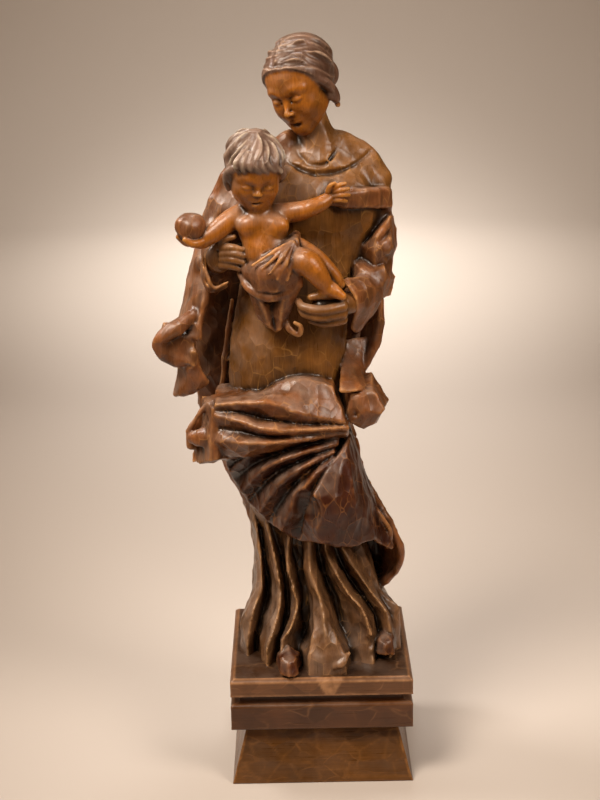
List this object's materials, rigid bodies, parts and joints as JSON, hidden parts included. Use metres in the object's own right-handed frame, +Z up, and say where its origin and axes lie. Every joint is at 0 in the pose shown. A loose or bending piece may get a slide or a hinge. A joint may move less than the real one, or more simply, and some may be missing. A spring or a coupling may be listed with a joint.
{
  "type": "carved standing figure on plinth",
  "caption": "Standing robed woman holding a child on her arm, carved in dark stained wood, on a stepped square plinth with a splayed foot.",
  "frame": {"origin": "middle of the plinth foot's underside, on the surface it stands on", "axes": "+Z up the figure, -Y the way the figure faces, +X to the viewer's right"},
  "size_m": [0.1846, 0.1387, 0.5464],
  "materials": {
    "carving": "dark walnut stain under thin satin varnish, ridges rubbed through to orange",
    "board": "dark walnut stain, satin",
    "foot": "dark walnut stain over shallow gouge facets, satin"
  },
  "bodies": {
    "root": {"figure": "carving", "plinth_board": "board", "plinth_foot": "foot"}
  },
  "joints": []
}
